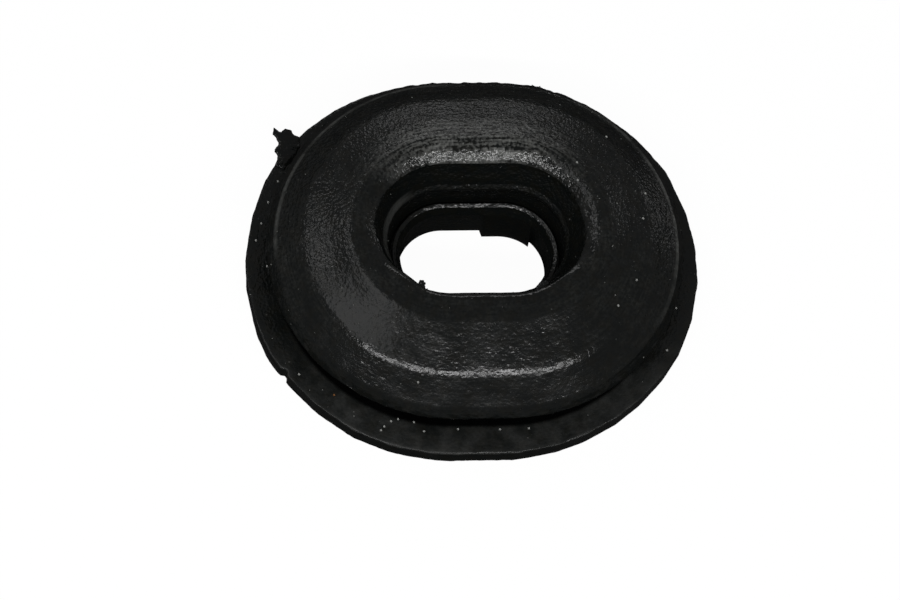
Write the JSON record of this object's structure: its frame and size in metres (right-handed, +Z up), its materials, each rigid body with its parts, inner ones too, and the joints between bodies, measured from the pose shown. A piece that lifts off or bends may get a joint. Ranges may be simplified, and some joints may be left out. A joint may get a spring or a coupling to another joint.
{
  "type": "oval rubber grommet",
  "caption": "Oval black rubber grommet: a thin wide bottom flange and a domed top flange either side of a panel groove, with a stepped oblong slot through the middle.",
  "frame": {"origin": "centre of the flat bottom face, on the slot's axis", "axes": "+X along the oval's long direction, +Z up through the slot, from the wide flange to the domed flange"},
  "size_m": [0.0294, 0.0264, 0.0076],
  "materials": {
    "black_rubber": "satin moulded rubber, lightly scuffed"
  },
  "bodies": {
    "root": {"grommet": "black_rubber"}
  },
  "joints": []
}
